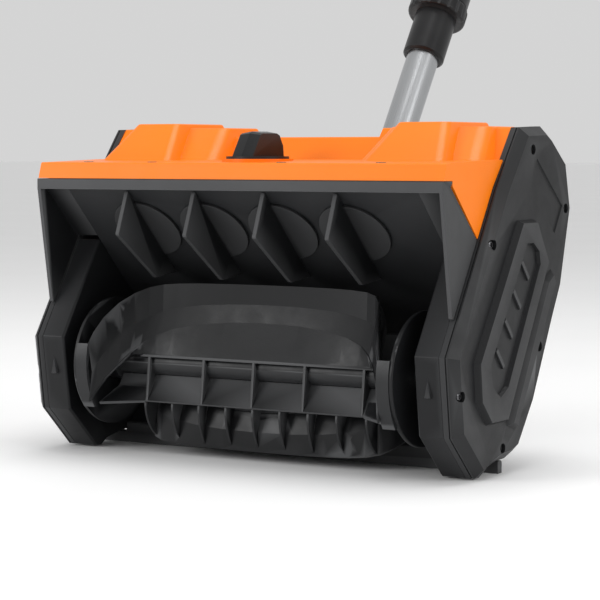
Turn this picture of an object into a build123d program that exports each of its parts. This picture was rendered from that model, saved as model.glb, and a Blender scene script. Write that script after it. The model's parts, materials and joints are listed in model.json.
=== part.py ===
from build123d import *
import math
import os

os.makedirs("parts", exist_ok=True)

# Single stage snow thrower head on a pole, millimetres, +Z up, front towards -Y.
# Origin: centre of the scraper bar's flat underside.

# ---------------------------------------------------------------- dimensions
half_width = 175.0        # outer face of the side covers
seam_x = 163.0            # seam between side casing and side cover
inner_x = 144.0           # inner face of the side casings
lip_back = 78.0           # lip front to scraper centre
wall = 2.6                # moulded wall thickness
axis_y, axis_z = 42.0 - lip_back, 65.0    # auger axis
trough_r = 63.0           # inner radius of the trough
sheet = 3.0               # trough and chute wall thickness
slope_deg = 44.5          # chute wall tangent angle
chute_len = 113.5         # straight length of the chute wall
shaft_r = 6.0
disc_r = 46.0
motor_y, motor_z = 125.0 - lip_back, 165.0
motor_r = 24.0
auger_pulley_r = 30.0
motor_pulley_r = 9.0
vane_x = (-91.6, -34.1, 23.4, 80.9)
pole_deg = 57.0           # pole angle above the ground
pole_y, pole_z = 69.3, 100.0
tube_r = 12.5
collar_r = 16.25
ring_r = 23.0
sleeve_r = 21.5


def yz(*pts):
    """Profile points given from the lip's front plane."""
    return [(y - lip_back, z) for y, z in pts]


def ag(*pts):
    """Profile points given from the auger axis."""
    return [(axis_y + y, axis_z + z) for y, z in pts]


def pol(r, a):
    a = math.radians(a)
    return (axis_y + r * math.cos(a), axis_z + r * math.sin(a))


cp, sp = math.cos(math.radians(pole_deg)), math.sin(math.radians(pole_deg))


def pole_at(s):
    """Plane square to the pole, s along it from the socket."""
    return Plane(origin=(0, pole_y + cp * s, pole_z + sp * s), x_dir=(1, 0, 0), z_dir=(0, cp, sp))


def pole_side(x=0.0):
    """Side view plane of the pole: local x along it, local y to its upper side."""
    return Plane(origin=(x, pole_y, pole_z), x_dir=(0, cp, sp), z_dir=(1, 0, 0))


def belt_tangents(c1, r1, c2, r2):
    """Four outer tangent points of two circles."""
    dx, dy = c2[0] - c1[0], c2[1] - c1[1]
    d = math.hypot(dx, dy)
    base = math.atan2(dy, dx)
    off = math.acos((r1 - r2) / d)
    out = []
    for sgn in (1, -1):
        a = base + sgn * off
        out.append(((c1[0] + r1 * math.cos(a), c1[1] + r1 * math.sin(a)),
                    (c2[0] + r2 * math.cos(a), c2[1] + r2 * math.sin(a))))
    return [out[0][0], out[0][1], out[1][1], out[1][0]]


# ------------------------------------------------------- trough and chute wall
a0, a1 = -54.2, slope_deg
dirx, dirz = -math.sin(math.radians(a1)), math.cos(math.radians(a1))
nx_, nz_ = math.cos(math.radians(a1)), math.sin(math.radians(a1))   # chute wall normal, up and back


def slope(s, h):
    """Point in the chute wall's frame: s down the wall from the lip, h out of its front face."""
    y0, z0 = pol(trough_r, a1)
    y0, z0 = y0 + dirx * chute_len, z0 + dirz * chute_len
    return (y0 - dirx * s - nx_ * h, z0 - dirz * s - nz_ * h)


vane_s = 38.0
vy, vz = slope(vane_s, 0)
vane_plane = Plane(origin=(0, vy, vz), x_dir=(1, 0, 0), z_dir=(0, nx_, nz_))

with BuildPart() as auger_housing:
    with BuildSketch(Plane.YZ.offset(-inner_x + 0.2)):
        with BuildLine():
            ThreePointArc(pol(trough_r, a0), pol(trough_r, 0), pol(trough_r, a1))
            Line(pol(trough_r, a1), slope(0, 0))
            Line(slope(0, 0), slope(0, -sheet))
            Line(slope(0, -sheet), pol(trough_r + sheet, a1))
            ThreePointArc(pol(trough_r + sheet, a1), pol(trough_r + sheet, 0), pol(trough_r + sheet, a0))
            Line(pol(trough_r + sheet, a0), pol(trough_r, a0))
        make_face()
    extrude(amount=2 * inner_x - 0.4)
    with BuildSketch(vane_plane.offset(-10)):
        with Locations(*[(x, 0) for x in vane_x]):
            Circle(4.06)
    extrude(amount=20, mode=Mode.SUBTRACT)
    # stiffening ribs on the back of the trough
    for x in (-110, -55, 55, 110):
        with BuildSketch(Plane.YZ.offset(x - 1.2)):
            with BuildLine():
                ThreePointArc(pol(trough_r + 2, -40), pol(trough_r + 2, 0), pol(trough_r + 2, 38))
                Line(pol(trough_r + 2, 38), pol(trough_r + 8, 36))
                ThreePointArc(pol(trough_r + 8, 36), pol(trough_r + 8, 25), pol(trough_r + 8, 14))
                Line(pol(trough_r + 8, 14), pol(trough_r + 4, 6))
                ThreePointArc(pol(trough_r + 4, 6), pol(trough_r + 4, -14), pol(trough_r + 4, -34))
                Line(pol(trough_r + 4, -34), pol(trough_r + 2, -40))
            make_face()
        extrude(amount=2.4)
auger_housing.part.label = "auger_housing"
export_step(auger_housing.part, "parts/auger_housing.step")

# ---------------------------------------------------------------- scraper bar
with BuildPart() as scraper_bar:
    with BuildSketch(Plane.YZ.offset(-inner_x + 0.4)):
        Polygon(*yz((75, 0), (75, 14), (76.5, 15.5), (78.2, 15.5), (79.3, 10.0), (88, 15.6), (96, 23.4), (98, 20.5),
                    (88, 8.5), (81, 0)), align=None)
    extrude(amount=2 * inner_x - 0.8)
    with BuildSketch(Plane.YZ.offset(-seam_x - 5)):
        Polygon(*yz((75, 0), (75, 8.0), (76, 8.8), (80, 8.8), (81, 7.8), (81, 0)), align=None)
    extrude(amount=2 * (seam_x + 5))
scraper_bar.part.label = "scraper_bar"
export_step(scraper_bar.part, "parts/scraper_bar.step")

# ------------------------------------------------------------------ chute hood
with BuildPart() as chute_hood:
    # lip bar across the mouth
    with BuildSketch(Plane.YZ.offset(-166)):
        Polygon(*yz((0.0, 190.4), (0.4, 190.0), (6.8, 189.8), (9.4, 192.4), (12.5, 196.0), (12.5, 197.4), (0.4, 197.4),
                    (0, 197.0)), align=None)
    extrude(amount=332)
    # flared end plates and the chute wall's wings outside the side casings
    for sx in (-1, 1):
        x0 = 163.2 if sx > 0 else -166
        with BuildSketch(Plane.YZ.offset(x0)):
            Polygon(*yz((0, 190.4), (0.6, 194), (10, 194), (46.6, 158.8), (46.4, 157.6), (14.8, 107.5), (13.2, 108.5)),
                    align=None)
        extrude(amount=2.8)
        x1 = 143.8 if sx > 0 else -163.6
        with BuildSketch(Plane.YZ.offset(x1)):
            Polygon(*yz((7.3, 190.1), (41.2, 155.6), (43.4, 157.7), (9.5, 192.2)), align=None)
        extrude(amount=19.8)
    fillet(chute_hood.edges().filter_by(Axis.X).group_by(Axis.Z)[-1].group_by(Axis.Y)[0], radius=0.3)
chute_hood.part.label = "chute_hood"
export_step(chute_hood.part, "parts/chute_hood.step")

# --------------------------------------------------------------- side casings
outline = yz((1, 84), (8, 31), (39, 1.2), (45, 1.2), (52, 5.5), (70, 9.6), (82, 10), (95, 14), (118, 44), (147, 99),
             (160, 122))
casing_top = yz((167.0, 152.6), (44.0, 152.6))
cover_outline = yz((1, 84), (8, 31), (39, 1.2), (45, 1.2), (52, 5.5), (70, 9.6), (82, 10), (95, 14), (118, 44),
                   (147, 99), (160, 122), (175, 177), (167, 211), (143, 229), (133, 234), (101, 233), (70, 193))


def inset(pts, d):
    """Polygon moved inwards by d, for a counter-clockwise list in (y, z)."""
    n = len(pts)
    area = sum(pts[i][0] * pts[(i + 1) % n][1] - pts[(i + 1) % n][0] * pts[i][1] for i in range(n))
    sgn = 1 if area > 0 else -1
    lines = []
    for i in range(n):
        (xa, ya), (xb, yb) = pts[i], pts[(i + 1) % n]
        ln = math.hypot(xb - xa, yb - ya)
        nx, ny = -(yb - ya) / ln * sgn, (xb - xa) / ln * sgn
        lines.append((xa + nx * d, ya + ny * d, xb - xa, yb - ya))
    out = []
    for i in range(n):
        x1, y1, u1, v1 = lines[i - 1]
        x2, y2, u2, v2 = lines[i]
        det = u1 * (-v2) + u2 * v1
        t = ((x2 - x1) * (-v2) + u2 * (y2 - y1)) / det
        out.append((x1 + u1 * t, y1 + v1 * t))
    return out


casing_pts = outline + casing_top
with BuildPart() as casing_right:
    with BuildSketch(Plane.YZ.offset(inner_x)):
        Polygon(*casing_pts, align=None)
    extrude(amount=seam_x - inner_x - 0.15)
    # soften the inner front edges that face the chute
    fillet(casing_right.edges().filter_by(Plane.YZ).group_by(Axis.X)[0].sort_by(Axis.Y)[0:3], radius=2.0)
    with BuildSketch(Plane.YZ.offset(inner_x + wall)):
        Polygon(*inset(casing_pts, wall), align=None)
    extrude(amount=40, mode=Mode.SUBTRACT)
    # open top for the belt
    with BuildSketch(Plane.YZ.offset(inner_x + wall)):
        Polygon(*yz((52, 140), (158, 140), (158, 156), (52, 156)), align=None)
    extrude(amount=40, mode=Mode.SUBTRACT)
    # bearing boss
    with BuildSketch(Plane.YZ.offset(inner_x - 4)):
        with Locations((axis_y, axis_z)):
            Circle(16)
    extrude(amount=9)
    with BuildSketch(Plane.YZ.offset(inner_x - 6)):
        with Locations((axis_y, axis_z)):
            Circle(11.05)
    extrude(amount=14, mode=Mode.SUBTRACT)
    # small raised wedge mark on the front facet
    with BuildSketch(Plane.XZ.offset(-(5.6 - lip_back))):
        with Locations((153.5, 62)):
            Polygon((-2.2, -5), (2.6, -5), (0.4, 6), align=None)
    extrude(amount=3.6)
casing_right.part.label = "casing_right"
export_step(casing_right.part, "parts/casing_right.step")

with BuildPart() as casing_left:
    mirror(casing_right.part, about=Plane.YZ)
casing_left.part.label = "casing_left"
export_step(casing_left.part, "parts/casing_left.step")

screw_pts = yz((111, 218), (162.5, 177), (54, 155), (11, 58.5), (123, 83), (68.5, 18.5))
panel = yz((88, 171), (26, 79), (29, 52), (44, 36), (70, 36), (125, 131), (131, 141), (112, 171))
with BuildPart() as cover_right:
    with BuildSketch(Plane.YZ.offset(seam_x)):
        Polygon(*cover_outline, align=None)
    extrude(amount=half_width - seam_x)
    chamfer(cover_right.faces().sort_by(Axis.X)[-1].edges(), length=6.0)
    # seam groove round the flange
    with BuildSketch(Plane.YZ.offset(seam_x + 4.0)):
        Polygon(*inset(cover_outline, -2), align=None)
        Polygon(*inset(cover_outline, 0.8), align=None, mode=Mode.SUBTRACT)
    extrude(amount=0.9, mode=Mode.SUBTRACT)
    with BuildSketch(Plane.YZ.offset(seam_x - 1)):
        Polygon(*inset(cover_outline, wall + 4.2), align=None)
    extrude(amount=half_width - seam_x - wall + 1, mode=Mode.SUBTRACT)
    # raised six sided panel over the belt
    with BuildSketch(Plane.YZ.offset(half_width - 0.5)):
        Polygon(*panel, align=None)
    extrude(amount=4.7, taper=28)
    # long recess in the panel
    with BuildSketch(Plane.YZ.offset(half_width + 4.2)):
        Polygon(*yz((95, 155), (43, 77), (45, 62), (57, 54), (68, 60), (115, 140), (113, 149), (104, 155)), align=None)
    extrude(amount=-2.4, mode=Mode.SUBTRACT, taper=20)
    # short slanted bars in the recess
    for y, z in ((92, 138), (80, 119), (68, 100), (56, 81)):
        with BuildSketch(Plane.YZ.offset(half_width + 1.0)):
            Polygon(*yz((y - 5, z + 4), (y + 6.5, z - 9), (y + 8.8, z - 6.0), (y - 2.2, z + 6.6)), align=None)
        extrude(amount=2.4, taper=12)
    # second ridge behind the panel
    with BuildSketch(Plane.YZ.offset(half_width - 0.2)):
        Polygon(*yz((73.5, 33.0), (127.5, 129.0), (139, 136), (144, 126), (86, 29)), align=None)
    extrude(amount=3.6, taper=42)
    # shallow diamond recess behind the panel
    with BuildSketch(Plane.YZ.offset(half_width)):
        Polygon(*yz((117, 212), (157, 179), (145, 160), (106, 190)), align=None)
    extrude(amount=-0.9, mode=Mode.SUBTRACT, taper=30)
    # screw pockets
    with BuildSketch(Plane.YZ.offset(half_width + 0.1)):
        with Locations(*screw_pts):
            Circle(3.5)
    extrude(amount=-4.4, mode=Mode.SUBTRACT)
cover_right.part.label = "cover_right"
export_step(cover_right.part, "parts/cover_right.step")

with BuildPart() as cover_left:
    mirror(cover_right.part, about=Plane.YZ)
cover_left.part.label = "cover_left"
export_step(cover_left.part, "parts/cover_left.step")

with BuildPart() as cover_screws:
    for y, z in screw_pts:
        with BuildSketch(Plane.YZ.offset(half_width - 4.2)):
            with Locations((y, z)):
                Circle(2.9)
        extrude(amount=2.2)
    chamfer(cover_screws.faces().filter_by(Axis.X).sort_by(Axis.X)[-6:].edges(), length=0.6)
    for y, z in screw_pts:
        with BuildSketch(Plane.YZ.offset(half_width - 1.9)):
            with Locations((y, z)):
                RegularPolygon(1.7, 6)
        extrude(amount=-1.3, mode=Mode.SUBTRACT)
    mirror(about=Plane.YZ)
cover_screws.part.label = "cover_screws"
export_step(cover_screws.part, "parts/cover_screws.step")

# ------------------------------------------------------------------ top cover
hump_l = (-152.0, -54.0)      # shoulder of the left hump
hump_r = (64.0, 160.0)        # shoulder of the right hump
crest_l = (-146.0, -84.0)     # raised middle of the left hump
crest_r = (76.0, 140.0)       # raised middle of the right hump
notch = (-78.0, 62.0)
knob_x, knob_y = -3.0, 41.0 - lip_back
with BuildPart() as top_cover:
    with BuildSketch(Plane.YZ.offset(-166)):
        Polygon(*yz((1.4, 197.7), (4.6, 208.2), (5.6, 209), (70, 211), (83.2, 211.2), (83.2, 210.2), (69.5, 193.4),
                    (48.0, 159.6), (47.4, 159.4), (12.9, 194.4), (12.9, 197.7)), align=None)
    extrude(amount=332)
    for xa, xb, zt in ((-162.8, notch[0], 233.2), (notch[0], notch[1], 227.0), (notch[1], 162.8, 233.2)):
        zf = 84.4 + (zt - 211.0) * 0.785
        with BuildSketch(Plane.YZ.offset(xa)):
            Polygon(*yz((80.0, 206), (80.0, 211.1), (84.4, 211.1), (zf, zt - 0.8), (zf + 1.2, zt), (133.6, zt),
                        (142.4, min(228.4, zt - 1.5)), (165.8, 210.6), (168.0, 201), (150, 201)), align=None)
        extrude(amount=xb - xa)
    for hx, yf, zt, inx, r in ((hump_l, 60, 233.8, 9, 9), (hump_r, 60, 233.8, 9, 9), (crest_l, 46, 236.9, 12, 6),
                               (crest_r, 46, 236.9, 12, 6)):
        xm = (hx[0] + hx[1]) / 2
        with BuildSketch(Plane.XY.offset(209.0)):
            with Locations((xm, (yf + 146) / 2 - lip_back)):
                RectangleRounded(hx[1] - hx[0], 146 - yf, r)
        with BuildSketch(Plane.XY.offset(zt)):
            with Locations((xm, (yf + 30 + 138) / 2 - lip_back)):
                RectangleRounded(hx[1] - hx[0] - 2 * inx, 138 - yf - 30, r)
        loft()
        fillet(top_cover.faces().filter_by(Axis.Z).group_by(Axis.Z)[-1].edges().filter_by(
            lambda e: abs(e.center().Z - zt) < 0.01 and hx[0] < e.center().X < hx[1]), radius=2.2)
    # cavities
    with BuildSketch(Plane.YZ.offset(-163.2)):
        Polygon(*yz((4.4, 185), (4.4, 198), (7.2, 206.2), (92, 208.4), (92, 150), (40, 150)), align=None)
    extrude(amount=326.4, mode=Mode.SUBTRACT)
    for xa, xb, zt in ((-160.2, notch[0] - wall, 230.6), (notch[0] - wall - 0.1, notch[1] + wall + 0.1, 224.4),
                       (notch[1] + wall, 160.2, 230.6)):
        zf = 84.4 + (zt - 208.4) * 0.785
        with BuildSketch(Plane.YZ.offset(xa)):
            Polygon(*yz((80, 190), (80, 208.3), (86.2, 208.4), (zf + 2, zt), (132.6, zt), (141.0, min(226.0, zt - 1)),
                        (163.4, 209), (165.4, 200), (165.4, 190)), align=None)
        extrude(amount=xb - xa, mode=Mode.SUBTRACT)
    for hx, yf, zt, inx in ((hump_l, 60, 231.0, 9), (hump_r, 60, 231.0, 9), (crest_l, 46, 233.8, 12),
                            (crest_r, 46, 233.8, 12)):
        xm = (hx[0] + hx[1]) / 2
        with BuildSketch(Plane.XY.offset(205.6)):
            with Locations((xm, (yf + 142) / 2 - lip_back)):
                RectangleRounded(hx[1] - hx[0] - 6, 142 - yf, 5)
        with BuildSketch(Plane.XY.offset(zt)):
            with Locations((xm, (yf + 33 + 135) / 2 - lip_back)):
                RectangleRounded(hx[1] - hx[0] - 2 * inx - 6, 135 - yf - 33, 5)
        loft(mode=Mode.SUBTRACT)
    # seat of the deflector lever
    with BuildSketch(Plane.XY.offset(208.6)):
        with Locations((knob_x, knob_y)):
            Circle(25)
    extrude(amount=3.0)
    with BuildSketch(Plane.XY.offset(210.9)):
        with Locations((knob_x, knob_y)):
            Circle(22.4)
    extrude(amount=3.0, mode=Mode.SUBTRACT)
    with BuildSketch(Plane.XY.offset(200)):
        with Locations((knob_x, knob_y)):
            Circle(5.06)
    extrude(amount=20, mode=Mode.SUBTRACT)
    # screw pockets behind the front edge
    with BuildSketch(Plane.XY.offset(212)):
        with Locations(*[(x, 14 - lip_back) for x in (-130, -74, 34, 112)]):
            Circle(3.6)
    extrude(amount=-4.4, mode=Mode.SUBTRACT)
top_cover.part.label = "top_cover"
export_step(top_cover.part, "parts/top_cover.step")

with BuildPart() as top_cover_screws:
    for x in (-130, -74, 34, 112):
        with BuildSketch(Plane.XY.offset(207.7)):
            with Locations((x, 14 - lip_back)):
                Circle(3.3)
        extrude(amount=1.9)
        with BuildSketch(Plane.XY.offset(209.7)):
            with Locations((x, 14 - lip_back)):
                Rectangle(4.4, 0.9)
                Rectangle(0.9, 4.4)
        extrude(amount=-1.0, mode=Mode.SUBTRACT)
top_cover_screws.part.label = "top_cover_screws"
export_step(top_cover_screws.part, "parts/top_cover_screws.step")

# ----------------------------------------------------------------- rear cover
with BuildPart() as rear_cover:
    back = yz((110.2, 47), (119.5, 46.5), (146.4, 99), (159.4, 122), (174.3, 177), (168.6, 200.4))
    back_in = yz((166.0, 200.4), (171.6, 177), (157.0, 123), (144.1, 100.4), (118.4, 50), (111.4, 50))
    with BuildSketch(Plane.YZ.offset(-inner_x + 0.3)):
        Polygon(*back, *back_in, align=None)
    extrude(amount=2 * inner_x - 0.6)
    for sx in (-1, 1):
        with BuildSketch(Plane.YZ.offset(inner_x - 1 if sx > 0 else -162.8)):
            Polygon(*yz((168.6, 200.4), (174.3, 177), (168.4, 155.2), (165.7, 155.2), (171.6, 177), (166.0, 200.4)),
                    align=None)
        extrude(amount=163.8 - inner_x)
    with BuildSketch(pole_at(-60)):
        Circle(19.8)
    extrude(amount=140, mode=Mode.SUBTRACT)
    # cooling slots
    with BuildSketch(Plane.XZ.offset(-60)):
        with Locations(*[(x, 166) for x in (58, 68, 78, 88, 98, 108, -58, -68, -78, -88, -98, -108)]):
            SlotOverall(26, 4.4, rotation=90)
    extrude(amount=-60, mode=Mode.SUBTRACT)
rear_cover.part.label = "rear_cover"
export_step(rear_cover.part, "parts/rear_cover.step")

# -------------------------------------------------------------- auger bearings
for side, sx in (("left", -1), ("right", 1)):
    with BuildPart() as bearing:
        with BuildSketch(Plane.YZ.offset(sx * 144.8 - 3.8)):
            with Locations((axis_y, axis_z)):
                Circle(11.0)
                Circle(shaft_r + 0.06, mode=Mode.SUBTRACT)
        extrude(amount=7.6)
        with BuildSketch(Plane.YZ.offset(sx * 144.8 - 4.8)):
            with Locations((axis_y, axis_z)):
                Circle(9.3)
                Circle(7.7, mode=Mode.SUBTRACT)
        extrude(amount=1.6, mode=Mode.SUBTRACT)
    bearing.part.label = "bearing_" + side
    export_step(bearing.part, "parts/bearing_" + side + ".step")

# ---------------------------------------------------------------------- auger
with BuildPart() as auger_shaft:
    with BuildSketch(Plane.YZ.offset(-156)):
        with Locations((axis_y, axis_z)):
            Circle(shaft_r)
    extrude(amount=324)
    chamfer(auger_shaft.faces().filter_by(Axis.X).edges(), length=0.8)
auger_shaft.part.label = "auger_shaft"
export_step(auger_shaft.part, "parts/auger_shaft.step")

# scoop stations: half length, inner edge, outer edge (from the auger axis)
keys = ((119.0, (-44, -26), (-44.6, 15.5)), (116.0, (-40.5, -19), (-42.2, 23.5)), (112.0, (-34, -9.5), (-35.0, 34.0)),
        (107.0, (-26.5, -1.0), (-24.0, 43.6)), (101.0, (-19.5, 7.2), (-12.5, 50.4)), (94.0, (-13.5, 14.0), (-4.0, 54.4)),
        (85.0, (-8.6, 19.8), (0.4, 56.4)), (72.0, (-5.0, 24.4), (2.0, 57.4)), (54.0, (-2.4, 27.8), (2.6, 58.0)),
        (30.0, (-0.6, 30.2), (3.0, 58.3)), (0.0, (0, 31), (3.0, 58.4)))
stations = keys


def scoop_section(p, q, t):
    """Thin concave strip between p and q, hollow side to the front."""
    dx, dy = q[0] - p[0], q[1] - p[1]
    ln = math.hypot(dx, dy)
    nx, ny = dy / ln, -dx / ln
    m = ((p[0] + q[0]) / 2 + nx * ln * 0.10, (p[1] + q[1]) / 2 + ny * ln * 0.10)
    return [p, m, q, (q[0] + nx * t, q[1] + ny * t), (m[0] + nx * t, m[1] + ny * t), (p[0] + nx * t, p[1] + ny * t)]


all_st = [(-x, p, q) for x, p, q in stations] + [(x, p, q) for x, p, q in stations[-2::-1]]
rib_x = (-89.4, -42.1, 0.0, 42.1, 89.4)
small_x = (-92.0, -68.5, -45.5, -22.5, 0.0, 22.5, 45.5, 68.5, 92.0)
with BuildPart() as auger_blade_a:
    # concave scoop
    for x, p, q in all_st:
        with BuildSketch(Plane.YZ.offset(x)):
            Polygon(*ag(*scoop_section(p, q, 2.8)), align=None)
    loft(ruled=True)
    # steep half moon between the shelf's front edge and the scoop
    for i in range(3, len(all_st) - 4):
        x0, p0, q0 = all_st[i]
        x1, p1, q1 = all_st[i + 1]
        for x, p in ((x0, p0), (x1, p1)):
            with BuildSketch(Plane.YZ.offset(x)):
                Polygon(*ag((-11.4, 6.8), (p[0] - 0.2, p[1] + 1.0), (p[0] + 2.4, p[1] - 0.6), (-8.8, 5.0)), align=None)
        loft(ruled=True)
    # shelf over the front boxes
    with BuildSketch(Plane.YZ.offset(-97)):
        Polygon(*ag((-11.4, 6.8), (-11.4, 4.9), (5.0, 4.0), (6.0, 5.6)), align=None)
    extrude(amount=194)
    # sloping plate at the back of the boxes
    with BuildSketch(Plane.YZ.offset(-118)):
        Polygon(*ag((5.0, 5.0), (-14.9, -26.0), (-13.6, -27.2), (6.5, 3.2)), align=None)
    extrude(amount=236)
    # the plate reaches forward to the end bands
    for sx in (-1, 1):
        for x, tip in ((sx * 91.0, (-14.9, -26.0)), (sx * 118.0, (-33.0, -27.0))):
            with BuildSketch(Plane.YZ.offset(x)):
                Polygon(*ag((-9.0, -16.8), tip, (tip[0] + 0.6, tip[1] - 1.8), (-7.8, -18.4)), align=None)
        loft(ruled=True)
    # split hub
    with BuildSketch(Plane.YZ.offset(-119)):
        with Locations((axis_y, axis_z)):
            Circle(9.0)
            Rectangle(40, 20, align=(Align.CENTER, Align.MAX), mode=Mode.SUBTRACT)
    extrude(amount=238)
    # big ribs that divide the front boxes
    for x in rib_x:
        with BuildSketch(Plane.YZ.offset(x - 0.9)):
            Polygon(*ag((-11.3, 5.6), (-14.9, -26.0), (-13.6, -27.0), (5.8, 4.6)), align=None)
        extrude(amount=1.8)
    # small ribs behind the scoop
    for x in small_x:
        o = 0.0 if abs(x) < 60 else (-2.5 if abs(x) < 80 else -7.0)
        with BuildSketch(Plane.YZ.offset(x - 0.8)):
            with BuildLine():
                rim = ag((5.2 + o, 56.0 + o * 0.3), (10.6 + o * 0.4, 45.0), (13.0, 27.8))
                ThreePointArc(*rim)
                Polyline(rim[2], *ag((2.0, 10.6), (0.6, 8.4), (-5.6, 6.4), (-6.0, 9.0), (1.6 + o, 29.0),
                                     (4.3 + o, 34.0)), rim[0])
            make_face()
        extrude(amount=1.6)
    # room for the other half's hub, and the shaft's bore
    with BuildSketch(Plane.YZ.offset(-120)):
        with Locations((axis_y, axis_z)):
            Circle(9.3)
            Rectangle(40, 20, align=(Align.CENTER, Align.MIN), mode=Mode.SUBTRACT)
            Circle(shaft_r)
    extrude(amount=240, mode=Mode.SUBTRACT)
auger_blade_a.part.label = "auger_blade_a"
export_step(auger_blade_a.part, "parts/auger_blade_a.step")

axis_line = Axis((0, axis_y, axis_z), (1, 0, 0))
with BuildPart() as auger_blade_b:
    add(auger_blade_a.part.rotate(axis_line, 180))
auger_blade_b.part.label = "auger_blade_b"
export_step(auger_blade_b.part, "parts/auger_blade_b.step")

with BuildPart() as auger_disc_right:
    with BuildSketch(Plane.YZ.offset(128.4)):
        with Locations((axis_y, axis_z)):
            Circle(disc_r)
            Circle(shaft_r, mode=Mode.SUBTRACT)
    extrude(amount=2.8)
    fillet(auger_disc_right.faces().sort_by(Axis.X)[-1].edges().sort_by(Edge.length)[-1:], radius=1.0)
    # hub
    with BuildSketch(Plane.YZ.offset(119.1)):
        with Locations((axis_y, axis_z)):
            Circle(13)
            Circle(shaft_r, mode=Mode.SUBTRACT)
    extrude(amount=9.4)
    # rim bands that carry the ends of the scoops
    for rot in (0, 180):
        with BuildSketch(Plane.YZ.offset(119.1).rotated((0, 0, 0))):
            with BuildLine():
                c = 1 if rot == 0 else -1
                Line(ag((-c * 44.6, c * 15.5))[0], ag((-c * 41.6, c * 15.5))[0])
                ThreePointArc(ag((-c * 41.6, c * 15.5))[0], ag((-c * 43.2, -c * 8.0))[0], ag((-c * 34.5, -c * 30.5))[0])
                Line(ag((-c * 34.5, -c * 30.5))[0], ag((-c * 37.2, -c * 30.5))[0])
                ThreePointArc(ag((-c * 37.2, -c * 30.5))[0], ag((-c * 45.9, -c * 8.0))[0], ag((-c * 44.6, c * 15.5))[0])
            make_face()
        extrude(amount=9.4)
auger_disc_right.part.label = "auger_disc_right"
export_step(auger_disc_right.part, "parts/auger_disc_right.step")

with BuildPart() as auger_disc_left:
    mirror(auger_disc_right.part, about=Plane.YZ)
auger_disc_left.part.label = "auger_disc_left"
export_step(auger_disc_left.part, "parts/auger_disc_left.step")

# ---------------------------------------------------------------------- drive
with BuildPart() as auger_pulley:
    with BuildSketch(Plane.YZ.offset(151)):
        with Locations((axis_y, axis_z)):
            Circle(auger_pulley_r)
            Circle(shaft_r, mode=Mode.SUBTRACT)
            with PolarLocations(20, 6):
                Circle(4.5, mode=Mode.SUBTRACT)
            with PolarLocations(auger_pulley_r, 48):
                Rectangle(1.6, 1.9, mode=Mode.SUBTRACT)
    extrude(amount=14)
auger_pulley.part.label = "auger_pulley"
export_step(auger_pulley.part, "parts/auger_pulley.step")

with BuildPart() as motor_pulley:
    with BuildSketch(Plane.YZ.offset(151)):
        with Locations((motor_y, motor_z)):
            Circle(motor_pulley_r)
            Circle(3.0, mode=Mode.SUBTRACT)
            with PolarLocations(motor_pulley_r, 14):
                Rectangle(1.6, 1.9, mode=Mode.SUBTRACT)
    extrude(amount=14)
motor_pulley.part.label = "motor_pulley"
export_step(motor_pulley.part, "parts/motor_pulley.step")

gap = 0.35
with BuildPart() as drive_belt:
    with BuildSketch(Plane.YZ.offset(153)):
        ro1, ro2 = auger_pulley_r + gap + 2.4, motor_pulley_r + gap + 2.4
        Polygon(*belt_tangents((axis_y, axis_z), ro1, (motor_y, motor_z), ro2), align=None)
        with Locations((axis_y, axis_z)):
            Circle(ro1)
        with Locations((motor_y, motor_z)):
            Circle(ro2)
        ri1, ri2 = auger_pulley_r + gap, motor_pulley_r + gap
        Polygon(*belt_tangents((axis_y, axis_z), ri1, (motor_y, motor_z), ri2), align=None, mode=Mode.SUBTRACT)
        with Locations((axis_y, axis_z)):
            Circle(ri1, mode=Mode.SUBTRACT)
        with Locations((motor_y, motor_z)):
            Circle(ri2, mode=Mode.SUBTRACT)
    extrude(amount=10)
drive_belt.part.label = "drive_belt"
export_step(drive_belt.part, "parts/drive_belt.step")

idler_y, idler_z = 59.0 - lip_back, 135.6
with BuildPart() as idler_pin:
    with BuildSketch(Plane.YZ.offset(inner_x + wall)):
        with Locations((idler_y, idler_z)):
            Circle(3.0)
    extrude(amount=19)
    with BuildSketch(Plane.YZ.offset(inner_x + wall)):
        with Locations((idler_y, idler_z)):
            Circle(6.0)
    extrude(amount=5.6)
idler_pin.part.label = "idler_pin"
export_step(idler_pin.part, "parts/idler_pin.step")

with BuildPart() as idler_roller:
    with BuildSketch(Plane.YZ.offset(152.6)):
        with Locations((idler_y, idler_z)):
            Circle(7.6)
            Circle(3.06, mode=Mode.SUBTRACT)
    extrude(amount=10.8)
idler_roller.part.label = "idler_roller"
export_step(idler_roller.part, "parts/idler_roller.step")

with BuildPart() as motor_can:
    with BuildSketch(Plane.YZ.offset(34)):
        with Locations((motor_y, motor_z)):
            Circle(motor_r)
    extrude(amount=76)
    fillet(motor_can.faces().filter_by(Axis.X).edges(), radius=2.0)
    with BuildSketch(Plane.YZ.offset(37)):
        with Locations((motor_y, motor_z)):
            Circle(motor_r - 2)
    extrude(amount=70, mode=Mode.SUBTRACT)
    with BuildSketch(Plane.YZ.offset(30)):
        with Locations((motor_y, motor_z)):
            Circle(3.06)
    extrude(amount=90, mode=Mode.SUBTRACT)
motor_can.part.label = "motor_can"
export_step(motor_can.part, "parts/motor_can.step")

with BuildPart() as motor_rotor:
    with BuildSketch(Plane.YZ.offset(28)):
        with Locations((motor_y, motor_z)):
            Circle(3.0)
    extrude(amount=140)
    with BuildSketch(Plane.YZ.offset(44)):
        with Locations((motor_y, motor_z)):
            Circle(18)
            with PolarLocations(18, 12):
                Rectangle(5, 1.6, mode=Mode.SUBTRACT)
    extrude(amount=52)
motor_rotor.part.label = "motor_rotor"
export_step(motor_rotor.part, "parts/motor_rotor.step")

with BuildPart() as motor_bracket:
    with BuildSketch(Plane.YZ.offset(110.2)):
        Polygon(*yz((97, 140), (150, 138), (158, 165), (152, 196), (100, 196)), align=None)
        with Locations((motor_y, motor_z)):
            Circle(9, mode=Mode.SUBTRACT)
    extrude(amount=3)
motor_bracket.part.label = "motor_bracket"
export_step(motor_bracket.part, "parts/motor_bracket.step")

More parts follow.
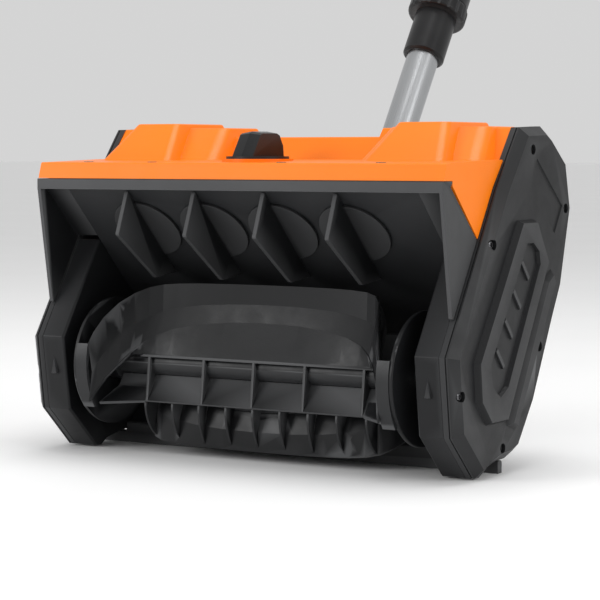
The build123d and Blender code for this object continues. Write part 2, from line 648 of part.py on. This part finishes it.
with BuildPart() as controller:
    with BuildSketch(Plane.XY.offset(196)):
        with Locations((-102, 118 - lip_back)):
            RectangleRounded(62, 44, 3)
    extrude(amount=18)
    with BuildSketch(Plane.XY.offset(214)):
        with Locations((-102, 118 - lip_back)):
            with GridLocations(8, 0, 7, 1):
                Rectangle(3.2, 38, mode=Mode.ADD)
    extrude(amount=4)
controller.part.label = "controller"
export_step(controller.part, "parts/controller.step")

# ------------------------------------------------------- vanes and their lever
for k, x in enumerate(vane_x, start=1):
    with BuildPart() as vane:
        with BuildSketch(Plane.YZ.offset(x - 1.6)):
            Polygon(*[slope(*sh) for sh in ((0.8, 1.2), (14.0, 29.6), (15.2, 30.2), (68.6, 20.8), (70.0, 19.6),
                                            (84.0, 1.2))], align=None)
        extrude(amount=3.2)
        with BuildSketch(vane_plane.offset(-2.4)):
            with Locations((x, 0)):
                Circle(26)
        extrude(amount=1.9)
        with BuildSketch(vane_plane.offset(-0.6)):
            with Locations((x, 0)):
                Circle(4.0)
        extrude(amount=9.2)
    vane.part.label = "vane_%d" % k
    export_step(vane.part, "parts/vane_%d.step" % k)
    with BuildPart() as crank:
        with BuildSketch(vane_plane.offset(4.2)):
            with Locations((x, -8)):
                SlotOverall(28, 12, rotation=90)
            with Locations((x, 0)):
                Circle(4.0, mode=Mode.SUBTRACT)
        extrude(amount=3.8)
        with BuildSketch(vane_plane.offset(7.8)):
            with Locations((x, -16)):
                Circle(2.0)
        extrude(amount=4.4)
    crank.part.label = "vane_crank_%d" % k
    export_step(crank.part, "parts/vane_crank_%d.step" % k)

with BuildPart() as tie_bar:
    with BuildSketch(vane_plane.offset(8.4)):
        with Locations(((vane_x[0] + vane_x[3]) / 2, -16)):
            SlotOverall(vane_x[3] - vane_x[0] + 10, 9)
        with Locations(*[(x, -16) for x in vane_x]):
            Circle(2.06, mode=Mode.SUBTRACT)
    extrude(amount=2.4)
tie_bar.part.label = "tie_bar"
export_step(tie_bar.part, "parts/tie_bar.step")

with BuildPart() as lever_knob:
    with BuildSketch(Plane.XY.offset(211.2)):
        with Locations((knob_x, knob_y)):
            Circle(22)
    extrude(amount=2.2)
    with BuildSketch(Plane.YZ.offset(knob_x)):
        Polygon(*yz((19.5, 211.8), (21, 214.2), (31, 229.2), (34, 230.6), (53, 230.6), (57, 229.0), (62, 221),
                    (63, 211.8)), align=None)
    extrude(amount=8.5, both=True, taper=9)
    with BuildSketch(Plane.XY.offset(211.3)):
        with Locations((knob_x, knob_y)):
            Circle(5.0)
    extrude(amount=-21)
lever_knob.part.label = "lever_knob"
export_step(lever_knob.part, "parts/lever_knob.step")

with BuildPart() as lever_arm:
    with BuildSketch(Plane.XY.offset(190.5)):
        with Locations((knob_x, knob_y)):
            Circle(8)
            Circle(5.0, mode=Mode.SUBTRACT)
        with Locations((knob_x + 14, knob_y)):
            Rectangle(16, 8)
    extrude(amount=4)
lever_arm.part.label = "lever_arm"
export_step(lever_arm.part, "parts/lever_arm.step")

# ----------------------------------------------------------------------- pole
with BuildPart() as pole_socket:
    with BuildSketch(pole_at(-32)):
        Circle(19)
    extrude(amount=84)
    fillet(pole_socket.faces().sort_by(Axis.Z)[-1].edges(), radius=2.0)
    with BuildSketch(Plane.YZ.offset(-36)):
        Polygon(*yz((160.0, 120.5), (174.9, 176.0), (180.0, 174.6), (165.2, 119.1)), align=None)
    extrude(amount=72)
    fillet(pole_socket.edges().filter_by(Plane.YZ).group_by(Axis.X)[0], radius=0.8)
    for x in (-15.5, 9.5):
        with BuildSketch(Plane.YZ.offset(x)):
            Polygon(*yz((162, 100), (176, 168), (205, 156), (186, 112)), align=None)
        extrude(amount=6)
    with BuildSketch(pole_at(-28)):
        Circle(tube_r + 0.02)
    extrude(amount=120, mode=Mode.SUBTRACT)
    with BuildSketch(pole_at(-40)):
        Circle(9)
    extrude(amount=30, mode=Mode.SUBTRACT)
pole_socket.part.label = "pole_socket"
export_step(pole_socket.part, "parts/pole_socket.step")

with BuildPart() as socket_bolts:
    for sx in (-1, 1):
        for z0 in (132, 163):
            yb = 163.4 + (z0 - 120) * 0.2685
            bolt_plane = Plane(origin=(sx * 28, yb - lip_back + 2.4, z0), x_dir=(1, 0, 0), z_dir=(0, 0.966, -0.259))
            with BuildSketch(bolt_plane):
                RegularPolygon(5.0, 6)
            extrude(amount=3.4)
socket_bolts.part.label = "socket_bolts"
export_step(socket_bolts.part, "parts/socket_bolts.step")

with BuildPart() as lower_tube:
    with BuildSketch(pole_at(-27.8)):
        Circle(tube_r)
        Circle(tube_r - 1.4, mode=Mode.SUBTRACT)
    extrude(amount=322)
lower_tube.part.label = "lower_tube"
export_step(lower_tube.part, "parts/lower_tube.step")

with BuildPart() as pole_collar:
    with BuildSketch(pole_at(225.4)):
        Circle(collar_r)
        Circle(tube_r + 0.03, mode=Mode.SUBTRACT)
    extrude(amount=37.8)
    chamfer(pole_collar.faces().sort_by(Axis.Z)[0].edges().sort_by(Edge.length)[-1:], length=1.6)
pole_collar.part.label = "pole_collar"
export_step(pole_collar.part, "parts/pole_collar.step")

with BuildPart() as lock_ring:
    with BuildSketch(pole_at(263.6)):
        Circle(ring_r)
        Circle(tube_r + 0.08, mode=Mode.SUBTRACT)
    extrude(amount=12)
    fillet(lock_ring.edges().filter_by(GeomType.CIRCLE).sort_by(Edge.length)[-2:], radius=2.4)
    with BuildSketch(pole_at(262)):
        with PolarLocations(ring_r + 1.0, 18):
            Circle(1.9)
    extrude(amount=16, mode=Mode.SUBTRACT)
lock_ring.part.label = "lock_ring"
export_step(lock_ring.part, "parts/lock_ring.step")

with BuildPart() as coupling_sleeve:
    with BuildSketch(pole_at(276.0)):
        Circle(sleeve_r)
    extrude(amount=96)
    fillet(coupling_sleeve.faces().sort_by(Axis.Z)[-1].edges(), radius=4.0)
    chamfer(coupling_sleeve.faces().sort_by(Axis.Z)[0].edges(), length=1.2)
    with BuildSketch(pole_at(250)):
        Circle(tube_r + 0.03)
    extrude(amount=160, mode=Mode.SUBTRACT)
    for s in (296, 352):
        with BuildSketch(pole_at(s)):
            Circle(sleeve_r + 2)
            Circle(sleeve_r - 1.0, mode=Mode.SUBTRACT)
        extrude(amount=2.6, mode=Mode.SUBTRACT)
coupling_sleeve.part.label = "coupling_sleeve"
export_step(coupling_sleeve.part, "parts/coupling_sleeve.step")

with BuildPart() as upper_tube:
    with BuildSketch(pole_at(296)):
        Circle(tube_r)
        Circle(tube_r - 1.4, mode=Mode.SUBTRACT)
    extrude(amount=556)
upper_tube.part.label = "upper_tube"
export_step(upper_tube.part, "parts/upper_tube.step")

with BuildPart() as power_lead:
    with BuildSketch(pole_at(-26)):
        Circle(3.2)
    extrude(amount=890)
power_lead.part.label = "power_lead"
export_step(power_lead.part, "parts/power_lead.step")

# ------------------------------------------------------------ auxiliary handle
aux_s, aux_n = 585.0, 33.0
aux_plane = Plane(origin=(0, pole_y + cp * aux_s, pole_z + sp * aux_s), x_dir=(1, 0, 0), z_dir=(0, -cp, -sp))
with BuildPart() as aux_clamp:
    with BuildSketch(pole_at(aux_s - 22)):
        Circle(19)
        Circle(tube_r + 0.03, mode=Mode.SUBTRACT)
    extrude(amount=44)
    chamfer(aux_clamp.faces().filter_by(Plane(pole_at(0).origin, z_dir=(0, cp, sp))).edges().filter_by(
        GeomType.CIRCLE).sort_by(Edge.length)[-2:], length=2.0)
    with BuildSketch(pole_side(-8)):
        with Locations((aux_s, aux_n)):
            Circle(11)
        with Locations((aux_s, aux_n - 9.5)):
            Rectangle(22, 19)
    extrude(amount=16)
    with BuildSketch(pole_side(-20)):
        with Locations((aux_s, aux_n)):
            Circle(3.0)
    extrude(amount=40, mode=Mode.SUBTRACT)
    with BuildSketch(pole_at(aux_s - 24)):
        Circle(tube_r + 0.03)
    extrude(amount=48, mode=Mode.SUBTRACT)
aux_clamp.part.label = "aux_clamp"
export_step(aux_clamp.part, "parts/aux_clamp.step")

with BuildPart() as aux_handle:
    with BuildLine(aux_plane):
        FilletPolyline((-12.6, 38), (-14, 52), (-56, 72), (-58, 128), (58, 128), (56, 72), (14, 52), (12.6, 38), radius=12)
    with BuildSketch(Plane(origin=aux_plane.from_local_coords((-12.6, 38, 0)), z_dir=aux_plane.from_local_coords(
            (-14, 52, 0)) - aux_plane.from_local_coords((-12.6, 38, 0)))):
        Circle(4.1)
    sweep()
    for xe in (-16.6, 8.4):
        with BuildSketch(pole_side(xe)):
            with Locations((aux_s, aux_n)):
                Circle(10.5)
            with Locations((aux_s, aux_n + 6)):
                Rectangle(10, 12)
            with Locations((aux_s, aux_n)):
                Circle(3.06, mode=Mode.SUBTRACT)
        extrude(amount=8.2)
aux_handle.part.label = "aux_handle"
export_step(aux_handle.part, "parts/aux_handle.step")

with BuildPart() as aux_grip:
    with BuildSketch(Plane(origin=aux_plane.from_local_coords((-45, 128, 0)), z_dir=(1, 0, 0))):
        Circle(14)
        Circle(4.12, mode=Mode.SUBTRACT)
    extrude(amount=90)
    fillet(aux_grip.edges().filter_by(GeomType.CIRCLE).sort_by(Edge.length)[-2:], radius=5)
    for i in range(9):
        with BuildSketch(Plane(origin=aux_plane.from_local_coords((-36 + i * 9, 128, 0)), z_dir=(1, 0, 0))):
            Circle(15)
            Circle(13.2, mode=Mode.SUBTRACT)
        extrude(amount=2.0, mode=Mode.SUBTRACT)
aux_grip.part.label = "aux_grip"
export_step(aux_grip.part, "parts/aux_grip.step")

with BuildPart() as aux_bolt:
    with BuildSketch(pole_side(-22)):
        with Locations((aux_s, aux_n)):
            Circle(3.0)
    extrude(amount=50)
    with BuildSketch(pole_side(-22)):
        with Locations((aux_s, aux_n)):
            RegularPolygon(6.4, 6)
    extrude(amount=4.6)
aux_bolt.part.label = "aux_bolt"
export_step(aux_bolt.part, "parts/aux_bolt.step")

with BuildPart() as aux_knob:
    with BuildSketch(pole_side(19.4)):
        with Locations((aux_s, aux_n)):
            Circle(15)
            with PolarLocations(17.5, 6):
                Circle(6, mode=Mode.SUBTRACT)
    extrude(amount=14)
    with BuildSketch(pole_side(16.9)):
        with Locations((aux_s, aux_n)):
            Circle(7)
    extrude(amount=2.6)
    with BuildSketch(pole_side(16.0)):
        with Locations((aux_s, aux_n)):
            Circle(3.06)
    extrude(amount=13.4, mode=Mode.SUBTRACT)
aux_knob.part.label = "aux_knob"
export_step(aux_knob.part, "parts/aux_knob.step")

# ---------------------------------------------------------------- rear handle
grip_out = [(800, -19), (800, 19), (836, 24), (868, 45), (880, 47), (990, 47), (1012, 40), (1012, -42), (1000, -46),
            (866, -44), (842, -30), (826, -20)]
grip_hole = [(880, -25), (870, -17), (870, 4), (882, 13), (966, 13), (976, 5), (976, -19), (968, -26)]
with BuildPart() as grip_right:
    with BuildSketch(pole_side(0.0)):
        Polygon(*grip_out, align=None)
        Polygon(*grip_hole, align=None, mode=Mode.SUBTRACT)
    extrude(amount=18)
    chamfer(grip_right.faces().sort_by(Axis.X)[-1].edges(), length=4.5)
    with BuildSketch(pole_side(-1)):
        Polygon(*inset(grip_out, 4.2), align=None)
        Polygon(*inset(grip_hole, -4.2), align=None, mode=Mode.SUBTRACT)
    extrude(amount=15, mode=Mode.SUBTRACT)
    with BuildSketch(pole_at(790)):
        Circle(tube_r + 0.03)
    extrude(amount=62.4, mode=Mode.SUBTRACT)
    # trigger slot, lock button slot, battery mouth
    with BuildSketch(pole_side(0)):
        Polygon((888, 8), (918, 8), (918, 22), (888, 22), align=None)
    extrude(amount=6.6, mode=Mode.SUBTRACT)
    with BuildSketch(pole_side(0)):
        Polygon((884, 38), (900, 38), (900, 50), (884, 50), align=None)
    extrude(amount=5.8, mode=Mode.SUBTRACT)
    with BuildSketch(pole_side(0)):
        Polygon((1000, -16.6), (1020, -16.6), (1020, 12.6), (1000, 12.6), align=None)
    extrude(amount=11.6, mode=Mode.SUBTRACT)
    # screw pockets
    with BuildSketch(pole_side(18.2)):
        with Locations((826, 0), (858, -36), (988, -34), (990, 30), (872, 30)):
            Circle(3.4)
    extrude(amount=-2.4, mode=Mode.SUBTRACT)
grip_right.part.label = "grip_right"
export_step(grip_right.part, "parts/grip_right.step")

with BuildPart() as grip_left:
    mirror(grip_right.part, about=Plane.YZ)
grip_left.part.label = "grip_left"
export_step(grip_left.part, "parts/grip_left.step")

with BuildPart() as grip_screws:
    for s, n in ((826, 0), (858, -36), (988, -34), (990, 30), (872, 30)):
        with BuildSketch(pole_side(15.9)):
            with Locations((s, n)):
                Circle(3.1)
        extrude(amount=1.7)
        with BuildSketch(pole_side(17.8)):
            with Locations((s, n)):
                Rectangle(4.2, 0.9)
                Rectangle(0.9, 4.2)
        extrude(amount=-1.0, mode=Mode.SUBTRACT)
grip_screws.part.label = "grip_screws"
export_step(grip_screws.part, "parts/grip_screws.step")

with BuildPart() as trigger:
    with BuildSketch(pole_side(-6)):
        with BuildLine():
            Polyline((916.5, 20.5), (889.5, 20.5), (889.5, 7.0))
            ThreePointArc((889.5, 7.0), (903, 2.6), (916.5, 6.0))
            Line((916.5, 6.0), (916.5, 20.5))
        make_face()
    extrude(amount=12)
    fillet(trigger.edges().filter_by(Axis.X).sort_by(lambda e: e.center().Z)[:1], radius=1.5)
trigger.part.label = "trigger"
export_step(trigger.part, "parts/trigger.step")

with BuildPart() as trigger_switch:
    with BuildSketch(pole_side(-8)):
        Polygon((890, 27), (926, 27), (926, 36), (890, 36), align=None)
    extrude(amount=16)
trigger_switch.part.label = "trigger_switch"
export_step(trigger_switch.part, "parts/trigger_switch.step")

with BuildPart() as lock_button:
    with BuildSketch(pole_side(-5.2)):
        Polygon((885, 41.6), (899, 41.6), (899, 50.4), (897.6, 51.4), (886.4, 51.4), (885, 50.4), align=None)
    extrude(amount=10.4)
lock_button.part.label = "lock_button"
export_step(lock_button.part, "parts/lock_button.step")

with BuildPart() as battery_pack:
    with BuildSketch(pole_side(-37)):
        Polygon((1012.6, -46), (1012.6, 42), (1068, 42), (1076, 34), (1076, -38), (1068, -46), align=None)
    extrude(amount=74)
    fillet(battery_pack.edges().filter_by(lambda e: abs(e.tangent_at(0.5).dot(Vector(0, cp, sp))) > 0.99), radius=9)
    with BuildSketch(pole_side(-11)):
        Polygon((984, -16), (1013, -16), (1013, 12), (984, 12), align=None)
    extrude(amount=22)
    # grip grooves on the sides
    for n in (-26, -18, -10, -2, 6, 14, 22):
        for xg in (-38, 36):
            with BuildSketch(pole_side(xg)):
                with Locations((1044, n)):
                    Rectangle(36, 2.6)
            extrude(amount=2, mode=Mode.SUBTRACT)
    # latch recess
    with BuildSketch(pole_side(-11.4)):
        Polygon((1024.6, 36), (1045.4, 36), (1045.4, 44), (1024.6, 44), align=None)
    extrude(amount=22.8, mode=Mode.SUBTRACT)
battery_pack.part.label = "battery_pack"
export_step(battery_pack.part, "parts/battery_pack.step")

with BuildPart() as battery_latch:
    with BuildSketch(pole_side(-11)):
        Polygon((1025, 39.4), (1045, 39.4), (1045, 43.2), (1042.6, 45.2), (1027.4, 45.2), (1025, 43.2), align=None)
    extrude(amount=22)
battery_latch.part.label = "battery_latch"
export_step(battery_latch.part, "parts/battery_latch.step")
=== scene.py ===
import json
import math

import bpy
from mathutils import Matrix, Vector

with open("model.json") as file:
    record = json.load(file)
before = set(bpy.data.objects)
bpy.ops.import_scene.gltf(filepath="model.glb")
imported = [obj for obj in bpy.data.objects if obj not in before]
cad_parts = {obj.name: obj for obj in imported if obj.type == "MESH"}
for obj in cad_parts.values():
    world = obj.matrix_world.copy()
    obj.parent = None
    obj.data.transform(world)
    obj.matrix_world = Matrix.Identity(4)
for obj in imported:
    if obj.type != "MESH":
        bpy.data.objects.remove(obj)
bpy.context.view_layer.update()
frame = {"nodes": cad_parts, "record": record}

N = frame["nodes"]
scene = bpy.context.scene
scene.view_settings.view_transform = "Standard"
scene.view_settings.look = "None"


# ------------------------------------------------------------------ materials
def nodes_of(name):
    m = bpy.data.materials.new(name)
    m.use_nodes = True
    t = m.node_tree
    t.nodes.clear()
    out = t.nodes.new("ShaderNodeOutputMaterial")
    b = t.nodes.new("ShaderNodeBsdfPrincipled")
    t.links.new(b.outputs["BSDF"], out.inputs["Surface"])
    return m, t, b


def coords(t):
    return t.nodes.new("ShaderNodeTexCoord").outputs["Object"]


def noise(t, co, scale, detail=3.0, rough=0.55, stretch=None):
    if stretch is not None:
        mp = t.nodes.new("ShaderNodeMapping")
        mp.inputs["Scale"].default_value = stretch
        t.links.new(co, mp.inputs["Vector"])
        co = mp.outputs["Vector"]
    n = t.nodes.new("ShaderNodeTexNoise")
    n.inputs["Scale"].default_value = scale
    n.inputs["Detail"].default_value = detail
    n.inputs["Roughness"].default_value = rough
    t.links.new(co, n.inputs["Vector"])
    return n.outputs["Fac"]


def ramp(t, fac, stops):
    r = t.nodes.new("ShaderNodeValToRGB")
    e = r.color_ramp.elements
    e[0].position, e[0].color = stops[0][0], (*stops[0][1], 1)
    e[1].position, e[1].color = stops[-1][0], (*stops[-1][1], 1)
    for p, c in stops[1:-1]:
        k = e.new(p)
        k.color = (*c, 1)
    t.links.new(fac, r.inputs["Fac"])
    return r.outputs["Color"]


def spread(t, fac, low, high):
    m = t.nodes.new("ShaderNodeMapRange")
    m.inputs["From Min"].default_value = 0.3
    m.inputs["From Max"].default_value = 0.7
    m.inputs["To Min"].default_value = low
    m.inputs["To Max"].default_value = high
    t.links.new(fac, m.inputs["Value"])
    return m.outputs["Result"]


def bump(t, b, heights, distance):
    last = None
    for fac, strength in heights:
        n = t.nodes.new("ShaderNodeBump")
        n.inputs["Strength"].default_value = strength
        n.inputs["Distance"].default_value = distance
        t.links.new(fac, n.inputs["Height"])
        if last is not None:
            t.links.new(last, n.inputs["Normal"])
        last = n.outputs["Normal"]
    t.links.new(last, b.inputs["Normal"])


def edge_highlight(t, base, highlight_colour, amount):
    """Painted highlight: lighter where the surface turns sharply outwards, from the mesh's own pointiness."""
    g = t.nodes.new("ShaderNodeNewGeometry")
    r = t.nodes.new("ShaderNodeMapRange")
    r.inputs["From Min"].default_value = 0.52
    r.inputs["From Max"].default_value = 0.62
    r.inputs["To Min"].default_value = 0.0
    r.inputs["To Max"].default_value = amount
    t.links.new(g.outputs["Pointiness"], r.inputs["Value"])
    mx = t.nodes.new("ShaderNodeMix")
    mx.data_type = "RGBA"
    t.links.new(r.outputs["Result"], mx.inputs["Factor"])
    t.links.new(base, mx.inputs["A"])
    mx.inputs["B"].default_value = (*highlight_colour, 1)
    return mx.outputs["Result"]


def moulded(name, dark, light, rough, grain=1400.0, depth=0.35, coat=0.0, highlight_colour=None, highlight_amount=0.3, spec=0.24):
    """Injection moulded plastic: spark-eroded grain, faint flow marks, painted highlight on sharp edges."""
    m, t, b = nodes_of(name)
    co = coords(t)
    flow = noise(t, co, 9.0, 4.0, 0.5, (1.0, 2.2, 0.7))
    col = ramp(t, flow, ((0.3, dark), (0.7, light)))
    # sharp outward edges get a lighter colour, a painted highlight
    if highlight_colour is not None:
        col = edge_highlight(t, col, highlight_colour, highlight_amount)
    t.links.new(col, b.inputs["Base Color"])
    t.links.new(spread(t, noise(t, co, 60.0, 5.0, 0.6), rough[0], rough[1]), b.inputs["Roughness"])
    b.inputs["Specular IOR Level"].default_value = spec
    if coat:
        b.inputs["Coat Weight"].default_value = coat
        b.inputs["Coat Roughness"].default_value = 0.16
    bump(t, b, ((noise(t, co, grain, 2.0, 0.6), depth), (noise(t, co, 24.0, 3.0, 0.5), depth * 0.25)), 0.0002)
    return m


def metal(name, dark, light, rough, stretch, depth=0.25, scale=220.0):
    """Metal with fine drawn or turned lines along one axis."""
    m, t, b = nodes_of(name)
    co = coords(t)
    b.inputs["Metallic"].default_value = 1.0
    t.links.new(ramp(t, noise(t, co, 30.0, 4.0, 0.6), ((0.3, dark), (0.7, light))), b.inputs["Base Color"])
    lines = noise(t, co, scale, 4.0, 0.7, stretch)
    t.links.new(spread(t, lines, rough[0], rough[1]), b.inputs["Roughness"])
    bump(t, b, ((lines, depth),), 0.0001)
    return m


def pole_metal(name):
    """Satin drawn tube: lines run along the pole, which leans back at 57 degrees."""
    m, t, b = nodes_of(name)
    co = coords(t)
    r = t.nodes.new("ShaderNodeMapping")
    r.inputs["Rotation"].default_value = (math.radians(33.0), 0, 0)
    t.links.new(co, r.inputs["Vector"])
    along = r.outputs["Vector"]
    b.inputs["Metallic"].default_value = 1.0
    t.links.new(ramp(t, noise(t, along, 14.0, 4.0, 0.6, (3.0, 3.0, 0.4)), ((0.3, (0.40, 0.41, 0.42)), (0.7, (0.50, 0.51, 0.52)))),
                b.inputs["Base Color"])
    lines = noise(t, along, 900.0, 3.0, 0.7, (1.0, 1.0, 0.02))
    t.links.new(spread(t, lines, 0.26, 0.38), b.inputs["Roughness"])
    bump(t, b, ((lines, 0.2),), 0.0001)
    return m


# in each moulding, the colour after the bump numbers is a painted highlight for its sharp edges
M = {
    "orange_shell": moulded("orange_moulding", (0.90, 0.195, 0.001), (0.96, 0.218, 0.002), (0.34, 0.44), 1100.0, 0.12, 0.08,
                            (0.95, 0.21, 0.01), 0.4),
    "black_shell": moulded("black_moulding", (0.006, 0.0063, 0.007), (0.010, 0.0104, 0.0115), (0.38, 0.50), 1500.0, 0.3, 0.0,
                           (0.09, 0.092, 0.096), 0.6),
    "black_cover": moulded("cover_moulding", (0.007, 0.0073, 0.008), (0.011, 0.0114, 0.0125), (0.36, 0.48), 1600.0, 0.3, 0.0,
                           (0.13, 0.132, 0.136), 0.7),
    "auger_plastic": moulded("auger_nylon", (0.007, 0.0073, 0.008), (0.012, 0.0124, 0.0135), (0.32, 0.46), 900.0, 0.22, 0.0,
                             (0.12, 0.122, 0.126), 0.6),
    "vane_plastic": moulded("vane_moulding", (0.0085, 0.0088, 0.0095), (0.013, 0.0134, 0.0145), (0.36, 0.48), 1300.0, 0.28, 0.0,
                            (0.16, 0.162, 0.166), 0.7),
    "lip_plastic": moulded("lip_moulding", (0.0085, 0.0088, 0.0095), (0.013, 0.0134, 0.0145), (0.36, 0.48), 1400.0, 0.28, 0.0,
                           (0.16, 0.162, 0.166), 0.7),
    # painted highlight: a lighter grey for small faces that face the front light
    "front_highlight_grey": moulded("front_edge_painted_highlight", (0.050, 0.051, 0.053), (0.070, 0.071, 0.074), (0.40, 0.52), 1300.0, 0.25),
    "collar_black": moulded("collar_moulding", (0.007, 0.0072, 0.0078), (0.012, 0.0123, 0.013), (0.28, 0.38), 1700.0, 0.08, 0.0,
                            (0.08, 0.082, 0.085), 0.6),
    "scraper_plastic": moulded("scraper_moulding", (0.006, 0.0063, 0.007), (0.011, 0.0114, 0.0125), (0.40, 0.54), 700.0, 0.45,
                               0.0, (0.13, 0.132, 0.136), 0.8),
    "rubber_black": moulded("handle_rubber", (0.010, 0.010, 0.0105), (0.017, 0.017, 0.0175), (0.62, 0.78), 800.0, 0.6),
    "lead_sheath": moulded("lead_rubber", (0.012, 0.012, 0.012), (0.02, 0.02, 0.02), (0.5, 0.65), 600.0, 0.5),
    "circuit_green": moulded("potted_board", (0.02, 0.09, 0.045), (0.035, 0.13, 0.06), (0.2, 0.35), 500.0, 0.3),
    "motor_metal": metal("motor_can_metal", (0.10, 0.10, 0.11), (0.16, 0.16, 0.17), (0.35, 0.5), (1.0, 12.0, 12.0)),
    "copper_core": metal("wound_core", (0.55, 0.27, 0.12), (0.72, 0.38, 0.18), (0.3, 0.45), (16.0, 1.0, 1.0)),
    "screw_steel": metal("screw_zinc", (0.10, 0.10, 0.105), (0.20, 0.20, 0.21), (0.26, 0.40), (1.0, 1.0, 1.0), 0.3, 900.0),
    "shaft_steel": metal("ground_shaft", (0.45, 0.45, 0.46), (0.6, 0.6, 0.61), (0.22, 0.36), (14.0, 1.0, 1.0)),
    "pole_aluminium": pole_metal("pole_aluminium"),
}

# ------------------------------------------------------- finish on CAD nodes
def sharp_group(limit):
    """Marks every edge that folds by more than the limit as sharp, so flat facets stay flat."""
    g = bpy.data.node_groups.new("facet_edges", "GeometryNodeTree")
    g.interface.new_socket("Geometry", in_out="INPUT", socket_type="NodeSocketGeometry")
    g.interface.new_socket("Geometry", in_out="OUTPUT", socket_type="NodeSocketGeometry")
    gi = g.nodes.new("NodeGroupInput")
    go = g.nodes.new("NodeGroupOutput")
    fold = g.nodes.new("GeometryNodeInputMeshEdgeAngle")
    over = g.nodes.new("FunctionNodeCompare")
    over.data_type = "FLOAT"
    over.operation = "GREATER_THAN"
    over.inputs["B"].default_value = math.radians(limit)
    mark = g.nodes.new("GeometryNodeSetShadeSmooth")
    mark.domain = "EDGE"
    mark.inputs["Shade Smooth"].default_value = False
    g.links.new(fold.outputs["Unsigned Angle"], over.inputs["A"])
    g.links.new(over.outputs["Result"], mark.inputs["Selection"])
    g.links.new(gi.outputs[0], mark.inputs["Geometry"])
    g.links.new(mark.outputs["Geometry"], go.inputs[0])
    return g


facets = sharp_group(14.0)
slot_of = {s["node"]: s["material_slot"] for s in frame["record"]["subparts"]}
soft_edge = {"top_cover": 1.1, "cover_right": 0.7, "cover_left": 0.7, "casing_right": 0.8, "casing_left": 0.8,
             "chute_hood": 0.5, "scraper_bar": 0.5, "lever_knob": 0.8, "rear_cover": 0.8, "pole_socket": 0.8,
             "battery_pack": 0.8, "grip_right": 0.8, "grip_left": 0.8, "aux_clamp": 0.6, "auger_housing": 0.4,
             "auger_blade_a": 0.35, "auger_blade_b": 0.35, "vane_1": 0.4, "vane_2": 0.4, "vane_3": 0.4, "vane_4": 0.4}
# face-area limits for the painted highlight on front-facing faces
front_edge = {"chute_hood": 0.01, "vane_1": 0.0006, "vane_2": 0.0006, "vane_3": 0.0006, "vane_4": 0.0006,
              "scraper_bar": 0.0}
no_bevel = {"motor_rotor", "auger_pulley", "motor_pulley", "lock_ring", "aux_grip", "power_lead", "lower_tube", "upper_tube"}
for name, ob in N.items():
    ob.data.materials.clear()
    ob.data.materials.append(M[slot_of[name]])
    if "custom_normal" in ob.data.attributes:
        ob.data.attributes.remove(ob.data.attributes["custom_normal"])
    # small faces that face the front get the lighter grey, a painted highlight
    if name in front_edge:
        ob.data.materials.append(M["front_highlight_grey"])
    for p in ob.data.polygons:
        p.use_smooth = True
        if name in front_edge and p.normal.y < -0.93 and p.area < front_edge[name]:
            p.material_index = 1
    w = ob.modifiers.new("join", "WELD")
    w.merge_threshold = 0.000005
    if name not in no_bevel:
        d = ob.modifiers.new("flat", "DECIMATE")
        d.decimate_type = "DISSOLVE"
        d.angle_limit = math.radians(0.4)
        d.delimit = {"NORMAL", "MATERIAL"}
    k = ob.modifiers.new("facets", "NODES")
    k.node_group = facets
    if name not in no_bevel:
        v = ob.modifiers.new("edge", "BEVEL")
        v.width = soft_edge.get(name, 0.25) / 1000.0
        v.segments = 2
        v.limit_method = "ANGLE"
        v.angle_limit = math.radians(26.0)
        v.harden_normals = True
        v.use_clamp_overlap = True

# --------------------------------------------------------------- the studio
mesh = bpy.data.meshes.new("floor")
mesh.from_pydata([(-40, -40, 0), (40, -40, 0), (40, 40, 0), (-40, 40, 0)], [], [(0, 1, 2, 3)])
floor = bpy.data.objects.new("floor", mesh)
scene.collection.objects.link(floor)
m, t, b = nodes_of("floor_paint")
t.links.new(ramp(t, noise(t, coords(t), 3.0, 4.0, 0.5), ((0.3, (0.93, 0.93, 0.93)), (0.7, (0.95, 0.95, 0.95)))),
            b.inputs["Base Color"])
b.inputs["Roughness"].default_value = 0.7
mesh.materials.append(m)

world = bpy.data.worlds.new("studio")
scene.world = world
world.use_nodes = True
bg = world.node_tree.nodes["Background"]
bg.inputs["Color"].default_value = (1, 1, 1, 1)
bg.inputs["Strength"].default_value = 0.66


def area(name, place, aim, w, h, power):
    l = bpy.data.lights.new(name, "AREA")
    l.shape = "RECTANGLE"
    l.size, l.size_y = w, h
    l.energy = power
    o = bpy.data.objects.new(name, l)
    o.location = place
    o.rotation_euler = (Vector(aim) - Vector(place)).to_track_quat("-Z", "Y").to_euler()
    scene.collection.objects.link(o)
    return o


area("key", (-1.25, -1.75, 0.75), (0, 0, 0.14), 0.9, 0.7, 15)
area("side", (1.7, -0.2, 0.9), (0.15, 0, 0.12), 0.8, 0.8, 8)
area("top", (0.1, 0.2, 1.9), (0, 0, 0.2), 1.2, 0.9, 15)

cam = bpy.data.cameras.new("camera")
cam.lens = 132.4
cam.sensor_width = 36.0
cam.clip_start = 0.05
cam.clip_end = 60.0
eye = bpy.data.objects.new("camera", cam)
eye.location = (0.8448, -1.3200, 0.2159)
eye.rotation_euler = (math.radians(86.18), 0, math.radians(32.36))
scene.collection.objects.link(eye)
scene.camera = eye
